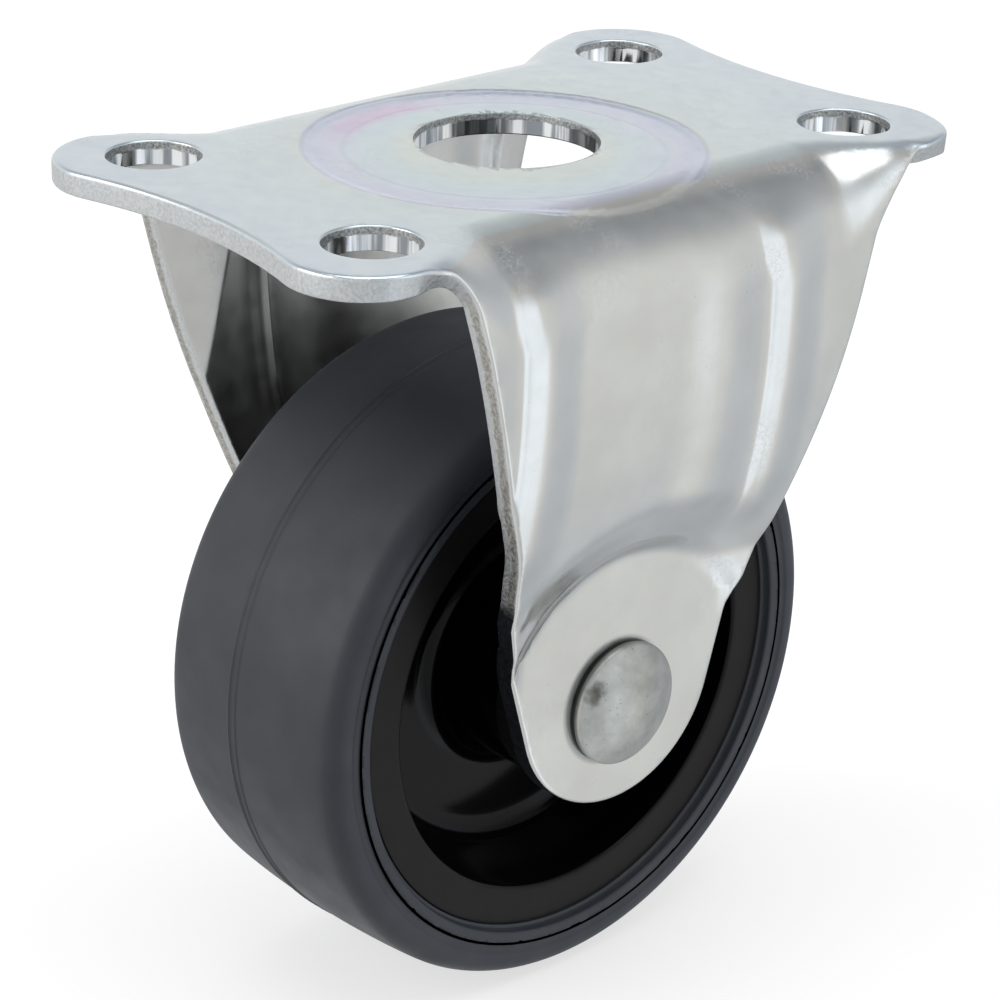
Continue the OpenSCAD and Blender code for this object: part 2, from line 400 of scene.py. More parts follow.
def fill_scratches(tree: Tree, given: bpy.types.NodeOutputs) -> list:
    """Fine straight scratches in two directions; see make_group."""
    total = None
    for angle, shift in ((0.35, 0.0), (-1.1, 31.0)):
        turned_place = tree.add("Mapping", {"Vector": tree.place(), "Location": (shift, shift, 0),
                                            "Rotation": (angle, angle, angle)}).outputs[0]
        squeezed = tree.add("VectorMath", {0: turned_place, 1: (1.0, 0.035, 1.0)},
                            operation="MULTIPLY").outputs[0]
        noise = tree.add("TexNoise", {"Vector": squeezed, "Scale": given["Scale"], "Detail": 2.0,
                                      "Roughness": 0.6}).outputs[0]
        line = tree.maths("ABSOLUTE", tree.minus(noise, 0.5))
        mask = tree.ramp(line, 0.0, given["Width"], 1.0, 0.0)
        total = mask if total is None else tree.maths("MAXIMUM", total, mask)
    gate = tree.add("TexNoise", {"Vector": tree.place(), "Scale": 0.13, "Detail": 1.0}).outputs[0]
    return [tree.times(total, tree.ramp(gate, 0.5, 0.68))]


def shared_groups() -> dict[str, bpy.types.NodeTree]:
    """Builds the effects that several finishes use.

    Returns:
        The groups by name.
    """
    return {
        "mottle": make_group("Mottle", [("Scale", "Float", 0.2), ("Detail", "Float", 3.0),
                                        ("Low", "Float", 0.0), ("High", "Float", 1.0)],
                             [("Value", "Float")], fill_mottle),
        "specks": make_group("Specks", [("Scale", "Float", 1.0), ("Share", "Float", 0.1),
                                        ("Sharpness", "Float", 8.0)],
                             [("Mask", "Float")], fill_specks),
        "scratches": make_group("Scratches", [("Scale", "Float", 1.0), ("Width", "Float", 0.004)],
                                [("Mask", "Float")], fill_scratches),
    }


class Finish:
    """Base of the finishes: one material with a Principled shader."""

    def __init__(self, name: str, groups: dict[str, bpy.types.NodeTree]) -> None:
        """Makes an empty material.

        Args:
            name: The material's name.
            groups: The shared node groups.
        """
        self.material = bpy.data.materials.new(name)
        self.material.use_nodes = True
        self.groups = groups
        self.tree = Tree(self.material.node_tree)
        self.shader = self.material.node_tree.nodes["Principled BSDF"]

    def effect(self, name: str, **values: object) -> bpy.types.NodeSocket:
        """Places a shared group.

        Args:
            name: The group's key.
            values: Its inputs by name, with spaces as underscores.

        Returns:
            Its first output.
        """
        node = self.tree.tree.nodes.new("ShaderNodeGroup")
        node.node_tree = self.groups[name]
        for key, value in values.items():
            self.tree.put(node.inputs[key.replace("_", " ")], value)
        return node.outputs[0]

    def feed(self, **values: object) -> None:
        """Sets the shader's sockets, named with underscores for spaces."""
        for key, value in values.items():
            self.tree.put(self.shader.inputs[key.replace("_", " ")], value)

    def relief(self, height: object, depth: float, normal: object = None) -> None:
        """Gives the surface a fine relief.

        Args:
            height: Height from 0 to 1.
            depth: Depth of the relief in millimetres.
            normal: The normal under the relief, where it isn't the surface's own.
        """
        bump = self.tree.add("Bump", {"Height": height, "Distance": depth * MM, "Strength": 1.0})
        if normal is not None:
            self.tree.put(bump.inputs["Normal"], normal)
        self.feed(Normal=bump.outputs[0])

    def noise(self, scale: float, detail: float = 2.0, rough: float = 0.5) -> bpy.types.NodeSocket:
        """Plain noise in millimetre space.

        Args:
            scale: Features for each millimetre.
            detail: Octaves.
            rough: Weight of the finer octaves.

        Returns:
            The noise, about 0.5 in the middle.
        """
        return self.tree.add("TexNoise", {"Vector": self.tree.place(), "Scale": scale,
                                          "Detail": detail, "Roughness": rough}).outputs[0]

    def axis(self, number: int) -> bpy.types.NodeSocket:
        """One of the piece's own coordinates, in millimetres."""
        return self.tree.add("SeparateXYZ", {0: self.tree.place()}).outputs[number]

    def away(self, spot: Sequence[float]) -> bpy.types.NodeSocket:
        """Distance from a spot on the piece, in millimetres."""
        return self.tree.add("VectorMath", {0: self.tree.place(), 1: spot},
                             operation="DISTANCE").outputs["Value"]

    def wobble(self, scale: float, reach: float, detail: float = 3.0,
               rough: float = 0.5) -> bpy.types.NodeSocket:
        """A noise about nought, which bends a border.

        Args:
            scale: Features for each millimetre.
            reach: Its full range.
            detail: Octaves.
            rough: Weight of the finer octaves.

        Returns:
            The noise.
        """
        return self.tree.times(self.tree.minus(self.noise(scale, detail, rough), 0.5), reach)

    def overlay(self, base: object, *marks: tuple[object, object, Colour]) -> bpy.types.NodeSocket:
        """Lays marks over a colour.

        Args:
            base: The colour below.
            marks: Mask, strength and colour of each, from the lowest up.

        Returns:
            The marked colour.
        """
        for mask, share, colour in marks:
            base = self.tree.blend(self.tree.times(mask, share), base, (*colour, 1))
        return base

    def sunk(self, height: object, *marks: tuple[object, float]) -> bpy.types.NodeSocket:
        """Lowers a relief under marks, each given as its mask and its depth."""
        for mask, depth in marks:
            height = self.tree.minus(height, self.tree.times(mask, depth))
        return height


class Zinc(Finish):
    """Bright zinc plating on pressed sheet, with a faint rainbow tint about the plate's middle."""

    # Centre of the painted shade round the rivet's head on the pad
    PAINTED_SHADE_AT = (-0.75, -18.6, -52.6)
    PINK_AT = (-5.5, 13.0, 0.0)
    RINGS = ((19.3, 1.0), (15.4, 0.35))
    TINT_REACH = 40.0
    TINTS = ((0.24, (1.0, 1.0, 0.90, 1)), (0.31, (0.94, 1.0, 0.98, 1)),
             (0.37, (0.95, 0.97, 1.0, 1)), (0.42, (0.97, 0.92, 1.0, 1)),
             (0.455, (0.92, 0.90, 1.0, 1)), (0.478, (0.90, 0.89, 1.0, 1)),
             (0.495, (1.0, 0.99, 0.93, 1)), (0.62, (0.97, 1.0, 0.97, 1)),
             (0.95, (0.94, 0.98, 1.0, 1)))

    def __init__(self, groups: dict[str, bpy.types.NodeTree], name: str = "zinc_plating",
                 polish: Point2 = (0.17, 0.27), tone: float = 1.0, flare: float = 0.0) -> None:
        """Builds the plating.

        Args:
            groups: The shared node groups.
            name: The material's name.
            polish: Least and greatest roughness.
            tone: Factor on its brightness.
            flare: How far the surface turns outwards on the flared side of each leg.
        """
        super().__init__(name, groups)
        tree = self.tree
        cloud = self.effect("mottle", Scale=0.12, Detail=4.0)
        side = tree.blend(cloud, (0.55, 0.553, 0.535, 1), (0.61, 0.614, 0.598, 1))
        # The plate's top gets a lighter, bluer copy of the plating than the legs: painted
        # reflection.
        top = tree.blend(cloud, (0.56, 0.62, 0.67, 1), (0.62, 0.67, 0.70, 1))
        base = tree.blend(self.top_share(), side, top)
        base = tree.blend(self.tint_share(), base, self.tint_colour(), mode="MULTIPLY")
        rings = self.pressed_lines_and_shade()
        patch = tree.ramp(self.noise(0.3, 3.0), 0.44, 0.7)
        grime = tree.times(self.effect("specks", Scale=3.0, Share=0.2, Sharpness=7.0), patch)
        dots = self.effect("specks", Scale=1.3, Share=0.05, Sharpness=9.0)
        scratches = self.effect("scratches", Scale=1.5, Width=0.006)
        base = self.overlay(
            # the pressed lines are also darkened here: painted shade in their creases
            base, (rings, 0.22, (0.30, 0.30, 0.36)), (grime, 0.7, (0.24, 0.23, 0.20)),
            (dots, 0.75, (0.14, 0.135, 0.12)), (scratches, 0.3, (0.38, 0.38, 0.36)),
            # painted shade round the rivet's head
            (self.painted_rivet_shade(), 0.62, (0.20, 0.21, 0.22)))
        base = tree.blend(1.0, base, (tone, tone, tone, 1), mode="MULTIPLY")
        least, greatest = polish
        rough = tree.plus(self.effect("mottle", Scale=0.5, Detail=4.0, Low=least, High=greatest),
                          tree.times(grime, 0.25))
        self.feed(Base_Color=base, Metallic=1.0, Roughness=rough)
        height = self.sunk(self.noise(1.6, 3.0, 0.6), (scratches, 0.6), (grime, 0.8), (dots, 1.5),
                           (rings, 5.0))
        self.relief(height, 0.007, self.flared(flare) if flare else None)

    def painted_rivet_shade(self) -> bpy.types.NodeSocket:
        """A grey crescent of painted shade on the pad, above and beside the rivet's head."""
        return self.tree.ramp(self.away(self.PAINTED_SHADE_AT), 6.4, 7.0, 1.0, 0.0)

    def flare_share(self) -> bpy.types.NodeSocket:
        """One on the side of each leg where it flares out long, nought on the rest."""
        tree = self.tree
        x, y, z = (self.axis(number) for number in range(3))
        across = tree.minus(tree.times(x, y), tree.times(z, 6.1))
        return tree.times(tree.ramp(across, -290.0, -266.0, 1.0, 0.0),
                          tree.ramp(z, -5.0, -3.0, 1.0, 0.0))

    def flared(self, turn: float) -> bpy.types.NodeSocket:
        """The surface's normal, turned outwards along X where the leg flares.

        Args:
            turn: Lean of the normal for each millimetre from the middle.

        Returns:
            The turned normal.
        """
        tree = self.tree
        lean = tree.times(tree.times(self.axis(0), turn), self.flare_share())
        push = tree.add("VectorTransform", {0: tree.add("CombineXYZ", {0: lean}).outputs[0]},
                        vector_type="VECTOR", convert_from="OBJECT", convert_to="WORLD")
        both = tree.add("VectorMath", {0: tree.add("NewGeometry").outputs["Normal"],
                                       1: push.outputs[0]}, operation="ADD")
        return tree.add("VectorMath", {0: both.outputs[0]}, operation="NORMALIZE").outputs[0]

    def from_recess(self) -> bpy.types.NodeSocket:
        """Distance from the middle of the recess, bent a little by a slow noise."""
        tree = self.tree
        flat = tree.add("VectorMath", {0: tree.place(), 1: (1, 1, 0)}, operation="MULTIPLY")
        away = tree.add("VectorMath", {0: flat.outputs[0], 1: (*RECESS_AT, 0.0)},
                        operation="DISTANCE").outputs["Value"]
        return tree.plus(away, self.wobble(0.5, 0.3))

    def pressed_lines_and_shade(self) -> bpy.types.NodeSocket:
        """Thin lines pressed round the recess and inside it: sunk as relief, and also darkened in
        colour as painted shade in their creases.
        """
        tree = self.tree
        away = self.from_recess()
        lines = [tree.times(share, tree.ramp(tree.maths("ABSOLUTE", tree.minus(away, radius)),
                                             0.05, 0.42, 1.0, 0.0))
                 for radius, share in self.RINGS]
        return tree.times(tree.maths("MAXIMUM", *lines), self.top_share())

    def top_share(self) -> bpy.types.NodeSocket:
        """One on the plate's flat top and nought below it."""
        return self.tree.ramp(self.axis(2), -0.7, -0.4)

    def tint_share(self) -> bpy.types.NodeSocket:
        """How strongly the rainbow tint shows: only on the plate's top, mostly in its recess."""
        near = self.tree.ramp(self.from_recess(), 19.0, 34.0, 1.0, 0.5)
        return self.tree.times(self.top_share(), near)

    def tint_colour(self) -> bpy.types.NodeSocket:
        """The tint's colours, in rings about the recess, with a pink arc on one side."""
        tree = self.tree
        away = self.from_recess()
        place = tree.plus(away, self.wobble(0.09, 2.2, 2.0))
        rings = tree.bands(tree.maths("DIVIDE", place, self.TINT_REACH), self.TINTS)
        arc_share = tree.ramp(tree.maths("ABSOLUTE", tree.minus(away, 16.3)), 0.6, 2.4, 1.0, 0.0)
        pink = tree.times(tree.ramp(self.away(self.PINK_AT), 3.0, 11.0, 0.9, 0.0), arc_share)
        return tree.blend(pink, rings, (1.0, 0.76, 0.92, 1))


class ShearedEdge(Finish):
    """The cut edge of the sheet: pale at its rims, torn and mottled between, and dark and
    speckled low on the legs."""

    def __init__(self, groups: dict[str, bpy.types.NodeTree]) -> None:
        """Builds the cut edge."""
        super().__init__("sheared_edge", groups)
        tree = self.tree
        height_mm = self.axis(2)
        depth = tree.add("Attribute", attribute_name="depth").outputs["Fac"]
        wander = self.wobble(0.9, 0.5, 4.0, 0.6)
        across = tree.plus(depth, wander)
        on_leg = tree.ramp(height_mm, -5.5, -2.6, 1.0, 0.05)
        torn = tree.times(tree.ramp(across, 0.14, 0.26), tree.ramp(across, 0.68, 0.52))
        torn = tree.times(torn, on_leg)
        grain = self.noise(3.2, 4.0, 0.65)
        pale = tree.blend(tree.ramp(grain, 0.35, 0.65), (0.44, 0.455, 0.46, 1),
                          (0.55, 0.565, 0.57, 1))
        dark = tree.blend(tree.ramp(grain, 0.3, 0.7), (0.22, 0.215, 0.195, 1),
                          (0.47, 0.46, 0.43, 1))
        # The edge turns near black and speckled below about 37 mm down the legs.
        low = tree.ramp(tree.plus(height_mm, tree.times(wander, 3.0)), -38.5, -36.5, 1.0, 0.0)
        flecks = self.effect("specks", Scale=3.2, Share=0.16, Sharpness=7.0)
        pits = tree.times(self.effect("specks", Scale=2.8, Share=0.2, Sharpness=7.0),
                          tree.maths("SUBTRACT", on_leg, low, clamp=True))
        base = self.overlay(
            tree.blend(torn, pale, dark), (low, 0.96, (0.022, 0.024, 0.032)),
            (flecks, low, (0.30, 0.31, 0.33)), (pits, 0.5, (0.16, 0.15, 0.12)))
        self.feed(Base_Color=base, Metallic=1.0, Roughness=tree.ramp(grain, 0.3, 0.7, 0.42, 0.58))
        self.relief(self.sunk(grain, (pits, 0.7), (torn, 0.8)), 0.02)


class PunchedWall(Finish):
    """The wall of a punched hole: torn at the top, and burnished with upright streaks below."""

    def __init__(self, groups: dict[str, bpy.types.NodeTree]) -> None:
        """Builds the hole wall."""
        super().__init__("punched_wall", groups)
        tree = self.tree
        torn = tree.ramp(tree.plus(self.axis(2), self.wobble(0.9, 0.5)), -0.95, -0.75)
        grain = self.noise(4.0, 4.0, 0.7)
        rough_metal = tree.blend(tree.ramp(grain, 0.35, 0.65), (0.20, 0.21, 0.21, 1),
                                 (0.52, 0.53, 0.52, 1))
        streak_place = tree.add("VectorMath", {0: tree.place(), 1: (1, 1, 0.04)},
                                operation="MULTIPLY").outputs[0]
        streak = tree.add("TexNoise", {"Vector": streak_place, "Scale": 0.7, "Detail": 3.0,
                                       "Roughness": 0.6}).outputs[0]
        smooth_metal = tree.blend(tree.ramp(streak, 0.42, 0.58), (0.25, 0.27, 0.29, 1),
                                  (0.75, 0.77, 0.78, 1))
        self.feed(Base_Color=tree.blend(torn, smooth_metal, rough_metal), Metallic=1.0,
                  Roughness=tree.ramp(torn, 0.0, 1.0, 0.16, 0.5))
        self.relief(tree.times(grain, torn), 0.04)


class RivetSteel(Finish):
    """Dull plated steel of the rivet, stained and pitted."""

    STAIN_AT = (-4.9, -20.4, -50.3)

    def __init__(self, groups: dict[str, bpy.types.NodeTree]) -> None:
        """Builds the rivet's steel."""
        super().__init__("rivet_steel", groups)
        tree = self.tree
        cloud = self.effect("mottle", Scale=0.45, Detail=4.0)
        base = tree.blend(cloud, (0.33, 0.33, 0.305, 1), (0.44, 0.445, 0.425, 1))
        pits = self.effect("specks", Scale=2.6, Share=0.3, Sharpness=6.0)
        border = tree.plus(self.away(self.STAIN_AT), self.wobble(0.8, 2.2))
        stain = tree.ramp(border, 0.3, 1.7, 0.85, 0.0)
        base = self.overlay(base, (pits, 0.55, (0.16, 0.155, 0.13)),
                            (stain, 1.0, (0.055, 0.05, 0.04)))
        self.feed(Base_Color=base, Metallic=1.0,
                  Roughness=self.effect("mottle", Scale=0.8, Detail=4.0, Low=0.3, High=0.45))
        self.relief(self.sunk(self.noise(1.4, 4.0, 0.6), (pits, 0.6)), 0.03)


class PlainSteel(Finish):
    """Plain drawn steel of the hidden sleeve."""

    def __init__(self, groups: dict[str, bpy.types.NodeTree]) -> None:
        """Builds the sleeve's steel."""
        super().__init__("drawn_steel", groups)
        cloud = self.effect("mottle", Scale=0.8, Detail=3.0)
        self.feed(Base_Color=self.tree.blend(cloud, (0.46, 0.46, 0.46, 1), (0.56, 0.56, 0.56, 1)),
                  Metallic=1.0, Roughness=self.effect("mottle", Scale=1.5, Low=0.3, High=0.42))


class CorePlastic(Finish):
    """Black moulded plastic: glossy in the dish, duller on the flat ring."""

    def __init__(self, groups: dict[str, bpy.types.NodeTree]) -> None:
        """Builds the plastic."""
        super().__init__("core_plastic", groups)
        tree = self.tree
        ring = tree.ramp(tree.maths("ABSOLUTE", self.axis(1)), 11.75, 11.98)
        cloud = self.effect("mottle", Scale=0.25, Detail=3.0)
        ring_tone = tree.blend(cloud, (0.0100, 0.0092, 0.0092, 1), (0.0135, 0.0125, 0.0123, 1))
        dust = self.effect("specks", Scale=0.55, Share=0.06, Sharpness=9.0)
        # The ring's tone is the plastic's own; the dish's darker colour is painted shade in the
        # recess.
        base = tree.blend(ring, (0.0034, 0.0030, 0.0038, 1), ring_tone)
        self.feed(Base_Color=self.overlay(base, (dust, 0.25, (0.2, 0.2, 0.19))), IOR=1.49,
                  Specular_IOR_Level=0.14,
                  Roughness=tree.plus(tree.ramp(ring, 0.0, 1.0, 0.13, 0.42),
                                      tree.times(dust, 0.2)))
        self.relief(tree.times(self.noise(5.0, 2.0), tree.ramp(ring, 0, 1, 0.15, 1.0)), 0.006)


class TyreRubber(Finish):
    """Matt blue-grey rubber with a faint bloom."""

    def __init__(self, groups: dict[str, bpy.types.NodeTree]) -> None:
        """Builds the rubber."""
        super().__init__("tyre_rubber", groups)
        bloom = self.effect("mottle", Scale=0.09, Detail=4.0)
        base = self.tree.blend(bloom, (0.021, 0.025, 0.034, 1), (0.029, 0.033, 0.043, 1))
        dust = self.effect("specks", Scale=0.5, Share=0.07, Sharpness=10.0)
        self.feed(Base_Color=self.overlay(base, (dust, 0.35, (0.16, 0.17, 0.18))), IOR=1.5,
                  Roughness=self.effect("mottle", Scale=0.2, Low=0.5, High=0.62))
        self.relief(self.noise(3.0, 3.0, 0.55), 0.01)


@dataclass
class Fork:
    """The pressed bracket, shaped as a flat blank that is punched and then bent; millimetres."""

    sheet: float = 2.4
    ear_x: float = 31.4
    ear_y: float = 17.0
    ear_r: float = 7.8
    waist_x: float = 36.8
    hole_x: float = 30.0
    hole_y: float = 16.0
    hole_r: float = 4.5
    centre_r: float = 9.0
    recess_at: Point2 = RECESS_AT
    recess_r: float = 19.5
    recess_depth: float = 0.22
    recess_step: float = 1.2
    leg_out: float = 25.8
    bend_mid: float = 9.2
    bend_edge: float = 2.8
    bend_inner: float = 0.6
    saddle: float = 9.5
    top_half: float = 27.3
    low_half: float = 17.6
    low_z: float = -35.5
    ease: float = 5.0
    end_z: float = -51.2
    end_r: float = 12.6
    lean: float = 3.4
    lean_start: float = 13.0
    pad_out: float = PAD_OUT
    pad_r: float = 15.2
    pad_fold: float = 3.0
    pad_step: float = 8.5
    bead_a: float = -20.6
    bead_b: float = 10.6
    bead_width: float = 7.6
    bead_high: float = 0.62
    bead_start: float = 2.2
    bead_lead: float = 4.0
    bead_end: float = -37.0
    bead_tail: float = 7.0
    rivet_hole_r: float = 4.1
    top_rim: float = 0.42
    low_rim: float = 0.25
    ear_fuller: float = 0.9
    hole_steps: int = 72
    recess_steps: int = 120
    grid_along: tuple[Point2, ...] = ((37.0, 0.5), (50.0, 1.2), (67.0, 0.5), (87.0, 2.0))

    def bend_radius(self, x: float) -> float:
        """Outside radius of the bend at a place across the leg."""
        return self.bend_edge + (self.bend_mid - self.bend_edge) * rise(
            (self.top_half + 2.2 - abs(x)) / self.saddle)

    def bead(self, x: float, z: float) -> float:
        """How far the pressing stands out of the flat panel at a place on the leg.

        It is two beads, each with a short steep flank, a round crest and a long easy slope, that
        widen at their upper ends, a low swell between them, a shallow dip beside the first and a
        short ridge at that one's tail.
        """
        wider = 1.1 * rise((z + 10.5) / 4.0)
        across = 0.0
        for left in (self.bead_a, self.bead_b):
            d = x - left + wider
            up = 0.35 * rise(d / 0.9) + 0.65 * rise((d - 0.3) / 2.5)
            across += up * (1 - rise((d - 2.6) / (self.bead_width + 2 * wider - 2.6)))
        along = rise((-z - self.bead_start) / self.bead_lead) * rise(
            (z - self.bead_end) / self.bead_tail)
        swell = 0.5 * rise((x + 0.5) / 5.5) * rise((10.2 - x) / 5.5)
        dip = 0.55 * rise((-20.5 - x) / 6.0)
        low = rise((-z - 3.0) / 8.0) * rise((z + 38.0) / 8.0)
        ridge = 0.25 * rise(1 - abs(x + 15.3) / 0.9) * rise(1 - abs(z + 39.0) / 2.4)
        return self.bead_high * across * along + (swell + dip) * low + ridge

    def face(self, x: float, z: float) -> float:
        """Distance of the leg's outer face from the middle plane, without the beads."""
        below = max(0.0, -z - self.lean_start) / (-self.low_z - self.lean_start)
        panel = self.leg_out - self.lean * min(below, 1.2) ** 2
        away = math.hypot(x, max(z, AXLE.z) - AXLE.z) - self.pad_r
        step = 0.45 * rise(away / self.pad_fold) + 0.55 * rise(away / self.pad_step)
        return self.pad_out + (panel - self.pad_out) * step

    def spread(self, x: float) -> float:
        """How far the bend moves out past the leg, so that the ears stay flat."""
        return 1.2 * rise((abs(x) - 29.0) / 3.0)

    def leg_place(self, x: float, z: float) -> float:
        """The place along the blank of a height on the leg."""
        return self.leg_out - z - (2 - math.pi / 2) * self.bend_radius(x)

    def outer(self, x: float, v: float) -> Vector:
        """The outer surface of the near half of the blank once bent.

        Args:
            x: Place across the blank.
            v: Place along it from the middle, 0 or more.

        Returns:
            The point on the near leg's side.
        """
        r = self.bend_radius(x)
        out = self.leg_out + self.spread(x)
        past = v - (out - r)
        if past <= 0:
            return Vector((x, -v, 0.0))
        if past < r * math.pi / 2:
            a = past / r
            b = self.bead(x, r * (math.cos(a) - 1))
            return Vector((x, -(out - r) - (r + b) * math.sin(a), (r + b) * math.cos(a) - r))
        z = r * math.pi / 2 - r - past
        return Vector((x, -self.face(x, z) - (out - self.leg_out) - self.bead(x, z), z))

    def inner(self, x: float, v: float) -> Vector:
        """The inner surface of the near half, one sheet's thickness from the outer one."""
        t = self.sheet
        r = self.bend_radius(x)
        small = max(self.bend_inner, r - t)
        out = self.leg_out + self.spread(x)
        past = v - (out - r)
        drop = t + small - r
        if past <= 0:
            return Vector((x, -v + drop * rise((past + 3.0) / 3.0), -t))
        if past < r * math.pi / 2:
            a = past / r
            b = self.bead(x, r * (math.cos(a) - 1))
            return Vector((x, -(out - t - small) - (small + b) * math.sin(a),
                           (small + b) * math.cos(a) - t - small))
        h = 0.05
        along = self.outer(x, v + h) - self.outer(x, v - h)
        across = self.outer(x + h, v) - self.outer(x - h, v)
        inward = along.cross(across).normalized()
        if inward.y < 0:
            inward.negate()
        below = past - r * math.pi / 2
        fade = 1 - rise(below / 4.0)
        level = Vector((0.0, inward.y, inward.z))
        point = self.outer(x, v) + level * (t / level.length_squared)
        straight = Vector((x, -(out - t) - self.bead(x, -r - below), -r - below))
        return point.lerp(straight, fade) - Vector((0, 0, drop * fade))

    def bent(self, co: Vector) -> Vector:
        """Moves one point of the flat blank to its place on the bent bracket.

        Args:
            co: Place across, place along and height in the blank, whose top is at 0.

        Returns:
            The place on the bracket.
        """
        turn = 1.0 if co.y < 0 else -1.0
        x, v = co.x * turn, abs(co.y)
        if turn > 0 and x > 0:
            v += self.ear_fuller * rise((x - 28.6) / 3.4) * rise((v - 19.0) / 4.5)
        top = self.outer(x, v)
        point = top.lerp(self.inner(x, v), -co.z / self.sheet)
        return Vector((point.x * turn, point.y * turn, point.z))

    def quarter(self, tight: bool) -> list[Point2]:
        """Outline of a quarter of the blank, from the waist round an ear to the leg's end.

        Args:
            tight: Whether the leg meets the ear in a tight corner, not in a long flare.

        Returns:
            The points as place across and along, both 0 or more.
        """
        ear = (self.ear_x, self.ear_y)
        waist_r = ((self.waist_x - ear[0]) ** 2 + ear[1] ** 2 - self.ear_r ** 2) / (
            2 * (self.ear_r + ear[0] - self.waist_x))
        centre = (self.waist_x + waist_r, 0.0)
        touch = math.degrees(math.atan2(-ear[1], centre[0] - ear[0]))
        waist = arc(centre, waist_r, 180, 180 + touch, 8)
        ear_arc = arc(ear, self.ear_r, touch, 92, 24)
        slope = (self.top_half - self.low_half) / -self.low_z
        flare_z, turn_x = (-5.0, 28.7) if tight else (-8.0, ear[0] - 0.6)
        leg_x = self.top_half + slope * flare_z
        leg_start = (leg_x, self.leg_place(leg_x, flare_z))
        corner = (turn_x, ear_arc[-1][1])
        turn = (corner[0] - 0.6, corner[1] + 0.6)
        gap = Vector(leg_start) - Vector(turn)
        meet = Vector(leg_start) + (gap.x + gap.y) / (1 - slope) * Vector((slope, -1.0))
        flare = eased_corner(ear_arc[-1], corner, turn, 4)
        flare += eased_corner(turn, tuple(meet), leg_start, 9)[1:]
        low = Vector((self.low_half, self.low_z))
        down = Vector((-slope, -1.0)).normalized()
        end = Vector((0.0, self.end_z))
        from_end = low - end
        touch_a = math.atan2(from_end.y, from_end.x) - math.acos(self.end_r / from_end.length)
        touch_low = end + self.end_r * Vector((math.cos(touch_a), math.sin(touch_a)))
        next_way = (touch_low - low).normalized()
        side = [(self.top_half + slope * z, z) for z in steps_between(flare_z, self.low_z + 5, 3)]
        side = sorted(side, key=lambda p: -p[1])
        curve = eased_corner(tuple(low - down * self.ease), tuple(low),
                             tuple(low + next_way * self.ease), 8)
        round_end = arc(tuple(end), self.end_r, math.degrees(touch_a), -90, 24)
        leg = [p for p in side if p[1] > curve[0][1] + 0.5] + curve + round_end
        return waist[:-1] + ear_arc + flare[1:] + [(x, self.leg_place(x, z)) for x, z in leg]

    def outline(self) -> list[Point2]:
        """The whole blank's outline, from its two kinds of quarter."""
        tight, flared = self.quarter(True), self.quarter(False)
        half = tight + [(-x, v) for x, v in reversed(flared[:-1])]
        return half + [(-x, -v) for x, v in half[1:-1]]

    def hole_cutter(self, bm: bmesh.types.BMesh, at: Point2, radius: float, rim: float) -> None:
        """Adds a punch for one hole, with rounded rims.

        Args:
            bm: Where the punch is added.
            at: The hole's centre on the blank.
            radius: The hole's radius.
            rim: Radius of its rounded rims.
        """
        t = self.sheet
        profile = [(0.0, 1.0), (radius + rim, 1.0)]
        profile += [(radius + rim - rim * math.sin(a), -rim + rim * math.cos(a))
                    for a in (0.0, 0.4, 0.8, 1.2, math.pi / 2)]
        profile += [(radius + rim / 2 * (1 - math.cos(a)), -t + rim / 2 * (1 - math.sin(a)))
                    for a in (0.0, 0.8, math.pi / 2)]
        profile += [(radius + rim / 2, -t - 1.0), (0.0, -t - 1.0)]
        spin_section(bm, [(at[0] + r, at[1], z) for r, z in profile], (0, 0, 1),
                     self.hole_steps, (*at, 0))

    def recess_die(self) -> bmesh.types.BMesh:
        """The round die that sinks the plate's middle a little."""
        bm = bmesh.new()
        at, d, r = self.recess_at, self.recess_depth, self.recess_r
        profile = [(0.0, 1.0), (r, 1.0), (r, 0.0), (r - self.recess_step, -d), (0.0, -d)]
        spin_section(bm, [(at[0] + reach, at[1], z) for reach, z in profile], (0, 0, 1),
                     self.recess_steps, (*at, 0))
        close_up(bm)
        return bm

    def punches(self) -> bmesh.types.BMesh:
        """The punches for every hole."""
        bm = bmesh.new()
        for sx in (-1, 1):
            for sy in (-1, 1):
                self.hole_cutter(bm, (sx * self.hole_x, sy * self.hole_y), self.hole_r, 0.25)
        self.hole_cutter(bm, (0.0, 0.0), self.centre_r, 0.35)
        rivet_v = self.leg_place(0.0, AXLE.z)
        for sy in (-1, 1):
            self.hole_cutter(bm, (0.0, sy * rivet_v), self.rivet_hole_r, 0.1)
        close_up(bm)
        return bm

    def blank(self) -> bmesh.types.BMesh:
        """The flat blank with rounded rims, before its holes."""
        bm = bmesh.new()
        face = bm.faces.new([bm.verts.new((x, v, 0.0)) for x, v in self.outline()])
        body = bmesh.ops.extrude_face_region(bm, geom=[face])["geom"]
        moved = [g for g in body if isinstance(g, bmesh.types.BMVert)]
        bmesh.ops.translate(bm, vec=(0, 0, -self.sheet), verts=moved)
        bmesh.ops.recalc_face_normals(bm, faces=bm.faces)
        for level, size, segments in ((0.0, self.top_rim, 4), (-self.sheet, self.low_rim, 2)):
            rims = [e for e in bm.edges if all(abs(v.co.z - level) < 1e-5 for v in e.verts)]
            bmesh.ops.bevel(bm, geom=rims, offset=size, offset_type="OFFSET", segments=segments,
                            profile=0.5, affect="EDGES", clamp_overlap=True, material=-1)
        return bm

    def cut_places(self) -> tuple[list[float], list[float]]:
        """Where the blank is cut into a fine grid, across and along."""
        across = steps_between(-39.2, 39.2, 1.1)
        for left in (self.bead_a, self.bead_b):
            fine = steps_between(left - 1.5, left + 4.5, 0.4)
            fine += steps_between(left + 4.5, left + self.bead_width + 1.5, 0.7)
            across += fine + [-x for x in fine]
        ordered = sorted(across)
        across = [x for x, last in zip(ordered, [-math.inf] + ordered) if x - last > 0.12]
        along, start = [], 0.0
        for end, pitch in ((self.leg_out - self.bend_mid, 2.0), *self.grid_along):
            along += steps_between(start, end, pitch)
            start = end
        return across, sorted(along + [-v for v in along] + [0.0])

